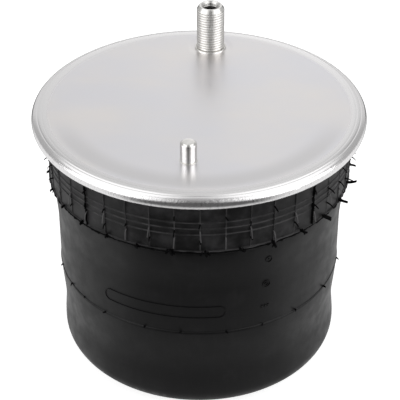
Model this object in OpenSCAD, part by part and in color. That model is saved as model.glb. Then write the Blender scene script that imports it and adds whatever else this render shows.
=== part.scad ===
// Rolling lobe air suspension spring, drawn let down on its bump stop, in millimetres.
// The origin is the centre of the piston's foot and +Z points up to the bead plate.
// The combination stud stands towards +Y and the locating pin towards -Y.

/* [Bead plate] */
// Outside diameter of the plate over its rolled rim
plate_d = 252; // [246:1:262]
// Thickness of the plate's steel sheet
plate_t = 2.5; // [2:0.1:2.8]
// Width of the sloped shoulder between the flat top and the rim's corner
shoulder_w = 8.4; // [5:0.1:12]
// Drop from the flat top to the rim's widest line
rim_drop = 5; // [4.6:0.1:5.4]
// Radius of the rolled underside of the rim
roll_r = 6.75; // [6.4:0.05:7.2]
// Radius of the rim's upper outer corner
rim_corner_r = 4.1; // [3.6:0.1:4.4]
// Width of the lip that is turned in under the bead
lip_w = 3.6; // [2.6:0.1:4.4]

/* [Combination stud] */
// Distance of the stud's axis from the plate's edge
stud_inset = 31.8; // [31.8:0.1:60]
// Outside diameter of the stud's thread
stud_d = 22; // [20:0.5:24]
// Height of the stud above the plate
stud_h = 37; // [28:1:45]
// Height of the chamfer round the stud's top
stud_chamfer_h = 3; // [1:0.5:4]
// Width of the chamfer round the stud's top
stud_chamfer_w = 2; // [1:0.1:2.4]
// Width of the collar that fills the plate's hole round the stud
stud_collar_w = 1; // [0.5:0.1:1.5]
// How far the neck at the foot of the stud and the pin lies inside their surface
neck_in = 0.6; // [0.3:0.1:0.9]
// Diameter of the flange under the plate
stud_flange_d = 27; // [26:0.5:28]
// Thickness of the flange under the plate
stud_flange_t = 4; // [3:0.5:6]
// Core diameter of the air port's inner thread
port_d = 12.4; // [10:0.1:13]
// Depth of the air port's inner thread
port_depth = 16; // [10:1:22]
// Diameter of the countersink at the port's mouth
port_mouth_d = 15.4; // [13.6:0.1:16]
// Diameter of the air passage below the port
passage_d = 8; // [5:0.5:9]

/* [Locating pin] */
// Distance of the pin from the plate's centre
pin_offset = 76.5; // [60:0.5:90]
// Diameter of the pin
pin_d = 12; // [10:0.5:14]
// Height of the pin above the plate
pin_h = 15.5; // [8:0.5:22]
// Chamfer round the pin's top
pin_chamfer = 1.2; // [0.5:0.1:2]
// Width of the collar that fills the plate's hole round the pin
pin_collar_w = 1; // [0.5:0.1:1.5]
// How far the head under the plate stands out from that collar
pin_head_out = 2; // [1:0.5:4]
// Thickness of the head under the plate
pin_head_t = 2; // [1.5:0.5:3]

/* [Bellows] */
// Wall of the rolled sleeve
wall = 5; // [4:0.25:6]
// Outside radius of the rolled lobe
lobe_r = 15.4; // [14:0.05:17]
// Height of the lobe's underside above the foot
lobe_lift = 7.6; // [4.5:0.1:10]
// How far the moulded cuff swells out below the rim's lip, on the radius
cuff_swell = 0.1; // [0.1:0.05:1.5]
// How far the cuff narrows down to its lower edge, on the radius
cuff_taper = 0.8; // [0.4:0.1:2]
// How far the cuff's lower edge stands out from the sleeve
cuff_lip = 2; // [0.8:0.1:3]
// Length of the cuff below the rim's widest line
cuff_h = 46.9; // [40:0.1:56]
// Diameter of the sleeve along its mould line
sleeve_d = 220.4; // [219:0.2:224]
// Height of the mould line above the foot
mould_line_z = 83.7; // [76:0.1:92]
// How far the waist above the lobe pulls in
waist_in = 1.5; // [0.5:0.1:2.5]
// Height of the waist above the foot
waist_z = 47; // [36:1:50]
// Width of the lower bead
bead_w = 11.5; // [10:0.5:13]

/* [Bead cores] */
// Diameter of the upper core's section
upper_core_d = 3.4; // [3:0.1:3.6]
// Diameter of the lower core's section
lower_core_d = 6; // [4:0.5:7]

/* [Piston] */
// Diameter of the piston's wall
piston_d = 157; // [150:1:160]
// Height of the piston's top land above the foot
piston_h = 146; // [135:1:152]
// Wall of the piston
piston_wall = 4; // [3:0.25:5.5]
// Radius of the piston's shoulder
shoulder_r = 16; // [12:0.5:18]
// Depth of the bead's seat below the top land
seat_h = 18; // [15:0.5:20]
// Width of the flat land at the foot of the seat
seat_land = 4; // [2:0.5:8]
// How far the seat flares at its lower end, on the radius
seat_flare = 1; // [0.4:0.1:1.5]
// Thickness of the top deck
deck_t = 7; // [5.5:0.5:10]
// How far the foot stands out from the piston's wall
foot_out = 3.5; // [2:0.5:6]
// Thickness of the foot at its edge
foot_t = 3; // [2:0.5:4]
// Wall of the centre hub round the recess for the nut
hub_wall = 5; // [3:0.5:7]
// Number of ribs under the deck
rib_n = 16; // [16:4:20]
// Thickness of a rib
rib_t = 3; // [2:0.25:4]
// How far the ring between the ribs lies inside the seat
web_inset = 2; // [0:0.5:6]
// Thickness of the ring between the ribs
web_t = 3; // [2:0.25:4]
// Outside diameter of an insert's boss
boss_d = 22; // [20:0.5:24]
// Length of an insert's boss
boss_h = 34; // [30:1:60]

/* [Base inserts] */
// Number of threaded inserts in the foot
insert_n = 4; // [2:2:4]
// Pitch circle of the inserts
insert_pcd = 89; // [80:0.5:92]
// Outside diameter of an insert
insert_d = 16; // [14:0.5:17]
// Length of an insert
insert_h = 26; // [18:1:28]
// Core diameter of an insert's thread
insert_bore_d = 10.2; // [8.5:0.1:10.8]

/* [Clamp plate and bolt] */
// How far the clamp plate stays inside the lower bead's outside
clamp_short = 1.5; // [0.5:0.5:4]
// Thickness of the clamp plate
clamp_t = 4.5; // [3:0.5:6]
// Chamfer round the clamp plate
clamp_chamfer = 1; // [0.5:0.1:1.4]
// Diameter of the centre bolt
bolt_d = 12; // [10:1:12]
// Width over the bolt head's flats
bolt_head_w = 18; // [17:0.5:19]
// Height of the bolt's head
bolt_head_h = 7.5; // [6:0.5:9]
// Width over the nut's flats
nut_w = 18; // [17:0.5:19]
// Height of the nut
nut_h = 12; // [9:0.5:13]
// Length of bolt that stands out of the nut
bolt_end = 2.5; // [1:0.5:5]
// Diameter of the washers
washer_d = 24; // [22:0.5:26]
// Thickness of the washers
washer_t = 2.5; // [2:0.5:3]
// Room for a socket round the washer in the nut's recess
socket_room = 2; // [1:0.5:4]
// Depth of the recess for the nut
recess_h = 22; // [20:1:30]
// Wall of the steel sleeve that lines the hub
sleeve_wall = 3; // [2:0.25:4]
// Distance of the seal's groove from that sleeve
groove_inset = 1; // [0.6:0.1:3]
// Thickness of the seal ring
seal_t = 2.6; // [2:0.1:3]

/* [Bump stop] */
// Height of the bump stop
bump_h = 60; // [50:1:66]
// Diameter of the bump stop at its foot
bump_d = 78; // [74:1:90]
// Diameter of the bump stop at its waist
bump_waist_d = 60; // [54:1:66]
// Diameter of the bump stop at its top
bump_top_d = 64; // [58:1:70]
// Height of its waist above its foot
bump_waist_z = 27; // [20:1:34]
// Room round the washer in the well down its middle
well_room = 0.5; // [0.3:0.1:3]
// Diameter of the steel disc in its foot
base_disc_d = 66; // [60:1:70]
// Thickness of the steel disc in its foot
base_disc_t = 3; // [2:0.5:4]

/* [Clearances] */
// Gap between the bump stop and the plate when the spring is let down
rest_gap = 0.5; // [0.3:0.1:1]
// Gap between rubber and what it seats on
rubber_gap = 0.3; // [0.2:0.05:0.4]
// Radial gap of a close fit
fit_gap = 0.05; // [0.02:0.01:0.1]
// Radial gap of a bolt in its holes
bolt_gap = 0.5; // [0.3:0.1:0.8]

/* [Hidden] */
$fn = 96;

plate_r = plate_d / 2;
stud_r = stud_d / 2;
stud_y = plate_r - stud_inset;
collar_r = stud_r + stud_collar_w;
pin_r = pin_d / 2;
pin_collar_r = pin_r + pin_collar_w;
piston_r = piston_d / 2;
bolt_r = bolt_d / 2;
washer_r = washer_d / 2;

// Heights of the stack that carries the plate when the spring is let down
land_z = piston_h;
clamp_top_z = land_z + clamp_t;
bump_top_z = clamp_top_z + bump_h;
plate_low_z = bump_top_z + rest_gap;
plate_top_z = plate_low_z + plate_t;
rim_z = plate_top_z - rim_drop;
rim_low_z = rim_z - roll_r;

// Rolled rim and the space that it leaves for the bead
rim_corner_x = plate_r - rim_corner_r;
roll_x = plate_r - roll_r;
lip_end_r = roll_x - lip_w;
flat_r = rim_corner_x - shoulder_w;
crease_r = rim_corner_x - shoulder_w / 2;
crease_drop = 0.3;

// Welds
lip_room = 0.1;
neck_room = 0.3;
stud_weld_w = stud_collar_w + neck_in - fit_gap - lip_room;
stud_weld_h = 0.9;
stud_neck_h = stud_weld_h + neck_room;
flange_weld_w = 2;
flange_weld_h = 2.5;
pin_weld_w = pin_collar_w + neck_in - fit_gap - lip_room;
pin_weld_h = 0.7;
pin_neck_h = pin_weld_h + neck_room;

// Bead seat on the piston, and the clamp plate over it
shoulder_z = land_z - seat_h;
bend_x = piston_r - shoulder_r;
bend_z = shoulder_z - shoulder_r;
seat_foot_r = bend_x - seat_land;
seat_r = seat_foot_r - seat_flare;
bead_outer_r = seat_r + rubber_gap + bead_w;
clamp_r = bead_outer_r - clamp_short;
lower_core_x = bead_outer_r - bead_w / 2 + 0.5;
lower_core_drop = 7.5;
lower_core_z = land_z - lower_core_drop;

// Sleeve, from the rolled lobe up to the bead in the rim
lobe_z = lobe_lift + lobe_r;
lobe_x = piston_r + rubber_gap + lobe_r;
lobe_out_r = lobe_x + lobe_r;
waist_r = lobe_out_r - waist_in;
sleeve_r = sleeve_d / 2;
throat_r = lip_end_r - rubber_gap;
cuff_top_r = throat_r + cuff_swell;
cuff_low_r = cuff_top_r - cuff_taper;
sleeve_top_r = cuff_low_r - cuff_lip;
cuff_z = rim_z - cuff_h;
cuff_lip_h = 1.2;
settle_z = (cuff_z + mould_line_z) / 2;
bead_roll_r = roll_r - plate_t - rubber_gap;
bead_corner_r = rim_corner_r - plate_t - rubber_gap;
upper_core_x = roll_x - 0.8;
upper_core_z = rim_z + (bead_corner_r - bead_roll_r) / 2;

// Bolt through the clamp plate and the sleeve that lines the hub
head_z = clamp_top_z + base_disc_t + washer_t;
nut_washer_z = recess_h - washer_t;
nut_z = nut_washer_z - nut_h;
bolt_low_z = nut_z - bolt_end;
bolt_hole_r = bolt_r + bolt_gap;
hub_sleeve_r = bolt_hole_r + sleeve_wall;
recess_r = washer_r + socket_room;
hub_r = recess_r + hub_wall;
well_r = washer_r + well_room;
groove_w = seal_t + 1;
groove_r = hub_sleeve_r + groove_inset + groove_w / 2;

// Points of an arc from angle a to angle b about (x, z)
function arc(x, z, r, a, b, n = 10) =
    [for (i = [0:n]) let (t = a + (b - a) * i / n) [x + r * cos(t), z + r * sin(t)]];

// Points of a soft change of radius from (r1, z1) to (r2, z2), flat at both ends
function ease(r1, z1, r2, z2, n = 8) =
    [for (i = [0:n]) let (t = i / n) [r1 + (r2 - r1) * t * t * (3 - 2 * t), z1 + (z2 - z1) * t]];

// Outer line of the bead plate's sheet from its centre to the end of its lip
function plate_outer() = concat(
    [[0, plate_top_z], [flat_r, plate_top_z], [crease_r, plate_top_z - crease_drop]],
    arc(rim_corner_x, rim_z, rim_corner_r, 90, 0),
    arc(roll_x, rim_z, roll_r, 0, -90),
    [[lip_end_r, rim_low_z]]);

// Inner line of the same sheet, back from the lip to the centre
function plate_inner() = concat(
    [[lip_end_r, rim_low_z + plate_t]],
    arc(roll_x, rim_z, roll_r - plate_t, -90, 0),
    arc(rim_corner_x, rim_z, rim_corner_r - plate_t, 0, 90),
    [[flat_r, plate_low_z], [0, plate_low_z]]);

module ring_of(x, z, r) {
    rotate_extrude($fn = 180)
        translate([x, z])
            circle(r = r, $fn = 32);
}

module hexagon(width, h) {
    cylinder(r = width / sqrt(3), h = h, $fn = 6);
}

module bead_plate() {
    color("lightsteelblue")
        difference() {
            rotate_extrude($fn = 180)
                polygon(concat(plate_outer(), plate_inner()));
            translate([0, stud_y, plate_low_z - 1])
                cylinder(r = collar_r + fit_gap, h = plate_t + 2);
            translate([0, -pin_offset, plate_low_z - 1])
                cylinder(r = pin_collar_r + fit_gap, h = plate_t + 2);
        }
}

module combination_stud() {
    top = plate_top_z + stud_h;
    low = plate_low_z - stud_flange_t;
    neck_top = plate_top_z + stud_neck_h;
    mouth_h = (port_mouth_d - port_d) / 2;
    color("silver")
        translate([0, stud_y, 0])
            difference() {
                rotate_extrude()
                    polygon([[0, low], [stud_flange_d / 2, low], [stud_flange_d / 2, plate_low_z],
                        [collar_r, plate_low_z], [collar_r, plate_top_z],
                        [stud_r - neck_in, plate_top_z], [stud_r - neck_in, neck_top], [stud_r, neck_top],
                        [stud_r, top - stud_chamfer_h], [stud_r - stud_chamfer_w, top], [0, top]]);
                translate([0, 0, top - port_depth])
                    cylinder(r = port_d / 2, h = port_depth + 1);
                translate([0, 0, top - mouth_h])
                    cylinder(r1 = port_d / 2, r2 = port_mouth_d / 2 + 1, h = mouth_h + 1);
                translate([0, 0, low - 1])
                    cylinder(r = passage_d / 2, h = top - low);
            }
}

// Fillet of weld that starts at radius r on the plane z, w wide and h high
module weld_ring(r, z, w, h) {
    rotate_extrude()
        polygon([[r + fit_gap, z], [r + fit_gap + w, z], [r + fit_gap, z + h]]);
}

module stud_lip_weld() {
    color("gray")
        translate([0, stud_y, 0])
            weld_ring(stud_r - neck_in, plate_top_z, stud_weld_w, stud_weld_h);
}

module stud_flange_weld() {
    color("gray")
        translate([0, stud_y, 0])
            weld_ring(stud_flange_d / 2, plate_low_z, flange_weld_w, -flange_weld_h);
}

module locating_pin() {
    top = plate_top_z + pin_h;
    low = plate_low_z - pin_head_t;
    neck_top = plate_top_z + pin_neck_h;
    head_r = pin_collar_r + pin_head_out;
    color("silver")
        translate([0, -pin_offset, 0])
            rotate_extrude()
                polygon([[0, low], [head_r, low], [head_r, plate_low_z],
                    [pin_collar_r, plate_low_z], [pin_collar_r, plate_top_z],
                    [pin_r - neck_in, plate_top_z], [pin_r - neck_in, neck_top], [pin_r, neck_top],
                    [pin_r, top - pin_chamfer], [pin_r - pin_chamfer, top], [0, top]]);
}

module pin_weld() {
    color("gray")
        translate([0, -pin_offset, 0])
            weld_ring(pin_r - neck_in, plate_top_z, pin_weld_w, pin_weld_h);
}

module upper_bead_core() {
    color("goldenrod")
        ring_of(upper_core_x, upper_core_z, upper_core_d / 2);
}

module lower_bead_core() {
    color("goldenrod")
        ring_of(lower_core_x, lower_core_z, lower_core_d / 2);
}

// Outer line of the sleeve from the lobe up to the cuff's lower edge
function sleeve_line() = concat(
    ease(lobe_out_r, lobe_z, waist_r, waist_z),
    ease(waist_r, waist_z, sleeve_r, mould_line_z),
    ease(sleeve_r, mould_line_z, sleeve_r, settle_z, 1),
    ease(sleeve_r, settle_z, sleeve_top_r, cuff_z - cuff_lip_h));

// Sleeve with its cuff, up to the rim's lip
module sleeve_profile() {
    line = sleeve_line();
    inside_r = throat_r - wall;
    top = rim_low_z - rubber_gap;
    polygon(concat(line, [[cuff_low_r, cuff_z], [cuff_top_r, top], [inside_r, top], [inside_r, cuff_z]],
        [for (i = [len(line) - 1:-1:0]) line[i] - [wall, 0]]));
}

// Neck that passes up inside the lip, and the bead that the rolled rim grips
module upper_bead_profile() {
    inside_r = throat_r - wall;
    low = rim_low_z - rubber_gap;
    top = plate_low_z - rubber_gap;
    polygon(concat([[inside_r, low], [throat_r, low], [throat_r, rim_z - bead_roll_r]],
        arc(roll_x, rim_z, bead_roll_r, -90, 0),
        arc(rim_corner_x, rim_z, bead_corner_r, 0, 90, 4),
        [[flat_r, top], [inside_r, top]]));
}

module lobe_profile() {
    translate([lobe_x, lobe_z])
        intersection() {
            difference() {
                circle(r = lobe_r, $fn = 96);
                circle(r = lobe_r - wall, $fn = 96);
            }
            translate([-lobe_r, -lobe_r])
                square([lobe_r * 2, lobe_r]);
        }
}

// Inner leg up the piston's wall, over its shoulder and into the lower bead
module inner_leg_profile() {
    bend_r = shoulder_r + rubber_gap;
    low = shoulder_z + rubber_gap;
    bead_top = land_z - fit_gap;
    translate([piston_r + rubber_gap, lobe_z])
        square([wall, bend_z - lobe_z]);
    polygon(concat(arc(bend_x, bend_z, bend_r + wall, 0, 90), arc(bend_x, bend_z, bend_r, 90, 0)));
    polygon([[seat_foot_r + rubber_gap, low], [bend_x, low], [bead_outer_r, low + wall / 2],
        [bead_outer_r, bead_top], [seat_r + rubber_gap, bead_top]]);
}

module bellows() {
    color("#202022")
        rotate_extrude($fn = 180)
            difference() {
                union() {
                    lobe_profile();
                    sleeve_profile();
                    upper_bead_profile();
                    inner_leg_profile();
                }
                translate([upper_core_x, upper_core_z])
                    circle(r = upper_core_d / 2 + rubber_gap, $fn = 32);
                translate([lower_core_x, lower_core_z])
                    circle(r = lower_core_d / 2 + fit_gap, $fn = 32);
            }
}

module clamp_plate() {
    color("slategray")
        translate([0, 0, land_z])
            difference() {
                rotate_extrude($fn = 120)
                    polygon([[0, 0], [clamp_r, 0], [clamp_r, clamp_t - clamp_chamfer],
                        [clamp_r - clamp_chamfer, clamp_t], [0, clamp_t]]);
                translate([0, 0, -1])
                    cylinder(r = bolt_hole_r, h = clamp_t + 2);
            }
}

module clamp_seal() {
    color("black")
        rotate_extrude()
            translate([groove_r, land_z - seal_t / 2 - fit_gap])
                circle(r = seal_t / 2, $fn = 24);
}

module bump_stop() {
    foot_r = bump_d / 2;
    waist = bump_waist_d / 2;
    top_r = bump_top_d / 2;
    edge = 4;
    foot_edge = 10;
    waist_len = 3;
    color("#303034")
        translate([0, 0, clamp_top_z])
            difference() {
                rotate_extrude($fn = 120)
                    polygon(concat([[0, 0], [foot_r, 0]],
                        ease(foot_r, foot_edge, waist, bump_waist_z),
                        ease(waist, bump_waist_z + waist_len, top_r, bump_h - edge * 2),
                        arc(top_r - edge, bump_h - edge, edge, 0, 90, 6),
                        [[0, bump_h]]));
                translate([0, 0, -1])
                    cylinder(r = base_disc_d / 2 + fit_gap, h = base_disc_t + 1);
                cylinder(r = well_r, h = bump_h + 1);
            }
}

module bump_stop_disc() {
    color("slategray")
        translate([0, 0, clamp_top_z])
            difference() {
                cylinder(r = base_disc_d / 2, h = base_disc_t);
                translate([0, 0, -1])
                    cylinder(r = bolt_hole_r, h = base_disc_t + 2);
            }
}

module centre_bolt() {
    color("silver") {
        translate([0, 0, bolt_low_z])
            cylinder(r = bolt_r, h = head_z - bolt_low_z + 1);
        translate([0, 0, head_z])
            hexagon(bolt_head_w, bolt_head_h);
    }
}

module washer(z) {
    translate([0, 0, z])
        difference() {
            cylinder(r = washer_r, h = washer_t);
            translate([0, 0, -1])
                cylinder(r = bolt_hole_r, h = washer_t + 2);
        }
}

module bolt_washer() {
    color("silver")
        washer(head_z - washer_t);
}

module hub_sleeve() {
    color("silver")
        translate([0, 0, recess_h])
            difference() {
                cylinder(r = hub_sleeve_r, h = land_z - recess_h);
                translate([0, 0, -1])
                    cylinder(r = bolt_hole_r, h = land_z);
            }
}

module nut_washer() {
    color("silver")
        washer(nut_washer_z);
}

module centre_nut() {
    color("silver")
        translate([0, 0, nut_z])
            difference() {
                hexagon(nut_w, nut_h);
                translate([0, 0, -1])
                    cylinder(r = bolt_r + fit_gap, h = nut_h + 2);
            }
}

// Piston's outside, from the foot over the shoulder and the tapered bead seat to the top land
module piston_outside() {
    foot_r = piston_r + foot_out;
    rotate_extrude($fn = 180)
        polygon(concat([[0, 0], [foot_r, 0], [foot_r, foot_t], [piston_r, foot_t + foot_out]],
            arc(bend_x, bend_z, shoulder_r, 0, 90),
            [[seat_foot_r, shoulder_z], [seat_r, land_z], [0, land_z]]));
}

// Hollow under the deck, between the hub and the wall, grown by "more" into what surrounds it
module piston_hollow(more) {
    inner_r = hub_r - more;
    neck_r = seat_r - piston_wall + more;
    deck_z = land_z - deck_t + more;
    rotate_extrude($fn = 120)
        polygon(concat([[inner_r, -1], [piston_r - piston_wall + more, -1]],
            arc(bend_x, bend_z, shoulder_r - piston_wall + more, 0, 90, 6),
            [[neck_r, shoulder_z - piston_wall + more], [neck_r, deck_z], [inner_r, deck_z]]));
}

module at_inserts() {
    for (i = [0:insert_n - 1])
        rotate([0, 0, 45 + i * 360 / insert_n])
            translate([insert_pcd / 2, 0, 0])
                children();
}

// Radial ribs and the ring that ties them, kept inside the hollow
module piston_ribs() {
    web_r = seat_r - web_inset;
    intersection() {
        union() {
            for (i = [0:rib_n - 1])
                rotate([0, 0, i * 360 / rib_n])
                    translate([0, -rib_t / 2, 0])
                        cube([piston_r, rib_t, land_z]);
            difference() {
                cylinder(r = web_r, h = land_z);
                translate([0, 0, -1])
                    cylinder(r = web_r - web_t, h = land_z + 2);
            }
        }
        piston_hollow(1);
    }
}

// Groove for the seal ring in the top land
module seal_groove() {
    translate([0, 0, land_z - seal_t - 2 * fit_gap])
        difference() {
            cylinder(r = groove_r + groove_w / 2, h = seal_t + 1);
            translate([0, 0, -1])
                cylinder(r = groove_r - groove_w / 2, h = seal_t + 3);
        }
}

module piston() {
    color("#3a3a3c")
        difference() {
            union() {
                difference() {
                    piston_outside();
                    piston_hollow(0);
                }
                piston_ribs();
                at_inserts()
                    cylinder(r = boss_d / 2, h = boss_h);
            }
            translate([0, 0, -1])
                cylinder(r = hub_sleeve_r + fit_gap, h = land_z + 2);
            translate([0, 0, -1])
                cylinder(r = recess_r, h = recess_h + 1);
            at_inserts()
                translate([0, 0, -1])
                    cylinder(r = insert_d / 2 + fit_gap, h = insert_h + 1);
            seal_groove();
        }
}

module base_inserts() {
    color("darkgoldenrod")
        at_inserts()
            difference() {
                cylinder(r = insert_d / 2, h = insert_h);
                translate([0, 0, -1])
                    cylinder(r = insert_bore_d / 2, h = insert_h + 2);
            }
}

bead_plate();
combination_stud();
stud_lip_weld();
stud_flange_weld();
locating_pin();
pin_weld();
upper_bead_core();
bellows();
lower_bead_core();
clamp_plate();
clamp_seal();
bump_stop();
bump_stop_disc();
centre_bolt();
bolt_washer();
hub_sleeve();
nut_washer();
centre_nut();
piston();
base_inserts();
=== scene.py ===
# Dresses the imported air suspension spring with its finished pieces, its materials and a plain studio.
import math
import random

import bmesh
import bpy
from bpy.props import FloatProperty, FloatVectorProperty, IntProperty, PointerProperty
from mathutils import Matrix, Vector, noise


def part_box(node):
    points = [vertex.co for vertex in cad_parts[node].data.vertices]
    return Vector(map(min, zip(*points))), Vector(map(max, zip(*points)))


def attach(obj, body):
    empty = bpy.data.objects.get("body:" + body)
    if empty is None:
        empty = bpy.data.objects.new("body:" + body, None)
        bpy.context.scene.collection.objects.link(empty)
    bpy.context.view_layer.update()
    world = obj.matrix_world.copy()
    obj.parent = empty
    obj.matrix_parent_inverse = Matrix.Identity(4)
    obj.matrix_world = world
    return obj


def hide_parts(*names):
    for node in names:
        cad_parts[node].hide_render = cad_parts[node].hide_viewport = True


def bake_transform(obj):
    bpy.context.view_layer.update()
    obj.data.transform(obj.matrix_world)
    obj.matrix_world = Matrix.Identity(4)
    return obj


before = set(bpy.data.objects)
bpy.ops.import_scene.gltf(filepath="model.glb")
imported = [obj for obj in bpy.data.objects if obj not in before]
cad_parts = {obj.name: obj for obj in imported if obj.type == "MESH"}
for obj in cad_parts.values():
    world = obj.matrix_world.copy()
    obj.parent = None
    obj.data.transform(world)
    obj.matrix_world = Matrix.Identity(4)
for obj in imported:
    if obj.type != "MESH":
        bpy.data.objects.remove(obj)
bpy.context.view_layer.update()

bl_info = {
    "name": "Air suspension spring",
    "version": (1, 0, 0),
    "blender": (4, 5, 0),
    "location": "3D View > Sidebar > Air spring",
    "description": "Builds the finished pieces of a rolling lobe air suspension spring on its packed frame",
    "category": "Object",
}

PLATE_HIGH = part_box("bead_plate")[1]
STUD_LOW, STUD_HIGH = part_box("combination_stud")
PIN_LOW, PIN_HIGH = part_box("locating_pin")
SLEEVE_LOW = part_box("bellows")[0]
PISTON_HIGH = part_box("piston")[1]
INSERT_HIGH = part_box("base_inserts")[1]
BOLT_LOW, BOLT_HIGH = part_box("centre_bolt")

PISTON_BODY = "piston_body"
PLATE_BODY = "plate_body"
MM = 0.001

# The camera's place, and the level directions towards it and to its right
CAMERA_TURN = math.radians(5.58)
CAMERA_RISE = math.radians(34.376)
CAMERA_REACH = 1.10215
CAMERA_AIM = 0.12735
CAMERA_ASIDE = 0.0007
FRONT = CAMERA_TURN - math.pi / 2
TO_FRONT = (math.cos(FRONT), math.sin(FRONT), 0)
TO_RIGHT = (-math.sin(FRONT), math.cos(FRONT), 0)

# Sizes of the bead plate
SHEET = 2.5 * MM
PLATE_TOP = PLATE_HIGH.z
PLATE_UNDER = PLATE_TOP - SHEET
RIM_Z = PLATE_TOP - 5 * MM
RIM_R = PLATE_HIGH.x
ROLL_R = 6.75 * MM
ROLL_X = RIM_R - ROLL_R
ROLL_LOW_Z = RIM_Z - ROLL_R
CORNER_R = 4.5 * MM
CORNER_X = RIM_R - CORNER_R
SHOULDER_R = RIM_R - 12.5 * MM
LIP_END_R = ROLL_X - 3.6 * MM
STUD_Y = (STUD_LOW.y + STUD_HIGH.y) / 2
PIN_Y = (PIN_LOW.y + PIN_HIGH.y) / 2

# Sizes of the rubber, with the gap that it keeps to the steel and the piston
GAP = 0.3 * MM
WALL = 5 * MM
THROAT_R = LIP_END_R - GAP
CUFF_Z = RIM_Z - 46.9 * MM
CUFF_R = THROAT_R + 0.1 * MM
CUFF_LOW_R = CUFF_R - 0.8 * MM
RING_HEIGHTS = (186.5 * MM, 181.4 * MM, 176.3 * MM)
RIB_TURN = math.radians(0.4)
RIB_COLUMNS = 16
LIP_GAP = 2.6 * MM
SLEEVE_TOP_R = CUFF_LOW_R - 2 * MM
SLEEVE_TOP_Z = CUFF_Z - 1.2 * MM
SLEEVE_R = 110.2 * MM
MOULD_Z = 83.7 * MM
SETTLE_Z = (CUFF_Z + MOULD_Z) / 2
PISTON_R = 78.5 * MM
LOBE_R = 15.4 * MM
LOBE_X = PISTON_R + GAP + LOBE_R
LOBE_Z = SLEEVE_LOW.z + LOBE_R
LOBE_OUT_R = LOBE_X + LOBE_R
WAIST_R = LOBE_OUT_R - 1.5 * MM
WAIST_Z = 47 * MM
LAND_Z = PISTON_HIGH.z
M12_PITCH = 1.75 * MM
SLEEVE_LINE = ((LOBE_OUT_R, LOBE_Z), (WAIST_R, WAIST_Z), (SLEEVE_R, MOULD_Z), (SLEEVE_R, SETTLE_Z),
               (SLEEVE_TOP_R, SLEEVE_TOP_Z))


def length(name, description, default):
    return FloatProperty(name=name, description=description, default=default,
                         subtype="DISTANCE", unit="LENGTH", precision=5)


def colour(name, description, default):
    return FloatVectorProperty(name=name, description=description, default=default,
                               subtype="COLOR", size=3, min=0, max=1)


def share(name, description, default):
    return FloatProperty(name=name, description=description, default=default,
                         subtype="FACTOR", min=0, max=1)


def strength(name, description, default):
    return FloatProperty(name=name, description=description, default=default, min=0)


class PlateSettings(bpy.types.PropertyGroup):
    steel: colour("Steel", "Colour of the satin plated sheet", (0.745, 0.736, 0.742))
    roughness: share("Roughness", "Roughness of the satin plated sheet", 0.31)
    crease: length("Crease", "Depth of the fine creases on the sloped shoulder", 0.15 * MM)
    ripple: length("Ripple", "Height of the ripple that rolling leaves on the rim", 0.035 * MM)
    dish: length("Dish", "Depth of the dish round the stud", 0.24 * MM)
    dish_radius: length("Dish radius", "Radius of the dish round the stud", 18 * MM)


class StudSettings(bpy.types.PropertyGroup):
    steel: colour("Steel", "Colour of the turned steel", (0.82, 0.81, 0.79))
    roughness: share("Roughness", "Roughness of the turned steel", 0.17)
    pitch: length("Pitch", "Pitch of the stud's thread", 2.16 * MM)
    depth: length("Depth", "Depth of the stud's thread", 0.46 * MM)
    port_pitch: length("Port pitch", "Pitch of the air port's inner thread", 1.5 * MM)
    port_depth: length("Port thread", "Depth of the air port's inner thread", 0.7 * MM)


class SleeveSettings(bpy.types.PropertyGroup):
    rubber: colour("Rubber", "Colour of the moulded rubber", (0.0038, 0.0037, 0.004))
    dust: colour("Bloom", "Colour of the pale bloom on the rubber", (0.03, 0.029, 0.0305))
    # This colour paints wear, and also a painted highlight on the cuff's crests and on the hanging whiskers.
    worn: colour("Worn", "Colour of the crests that rub bare and of stray marks", (0.052, 0.05, 0.052))
    roughness: share("Roughness", "Roughness of the moulded rubber", 0.42)
    ribs: IntProperty(name="Ribs", description="Number of upright mould ribs on the cuff", default=40, min=8)
    rib: length("Rib height", "Height of the upright mould ribs", 0.9 * MM)
    ring: length("Ring height", "Height of the three rings round the cuff", 0.6 * MM)
    line: length("Mould line", "Height of the mould line round the sleeve", 0.5 * MM)
    mark: length("Mark height", "Height of the raised outlines on the sleeve", 0.55 * MM)
    whisker: length("Whisker", "Length of the longest vent whiskers", 8 * MM)


class PistonSettings(bpy.types.PropertyGroup):
    plastic: colour("Plastic", "Colour of the moulded piston", (0.022, 0.022, 0.024))
    brass: colour("Brass", "Colour of the threaded inserts", (0.62, 0.45, 0.2))
    zinc: colour("Zinc", "Colour of the plated fasteners", (0.6, 0.6, 0.58))
    edge: length("Edge", "Radius of the moulded edges", 0.5 * MM)


class StudioSettings(bpy.types.PropertyGroup):
    floor: colour("Floor", "Colour of the floor", (0.82, 0.82, 0.82))
    glow: share("Backdrop", "How far the floor glows into the white of the backdrop", 0.75)
    fill: strength("Fill", "Strength of the even light from all round", 0.6)
    side: FloatProperty(name="Side boxes", description="Power of each side softbox", default=7.0, min=0,
                        unit="POWER")
    near_floor: share("Near floor", "Level of the floor close before the spring in its reflections", 0.72)
    far_floor: share("Far floor", "Level of the floor further out before the spring in its reflections", 0.13)
    dark: share("Dark corner", "Level of the unlit part of the room behind the camera", 0.13)
    ceiling: share("Ceiling", "Level of the ceiling right over the spring", 0.56)
    wing: share("Wings", "Level of the unlit walls to the left and right behind the spring", 0.64)
    canopy: strength("Canopy", "Level of the lit ceiling to both sides", 1.75)


# Materials

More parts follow.
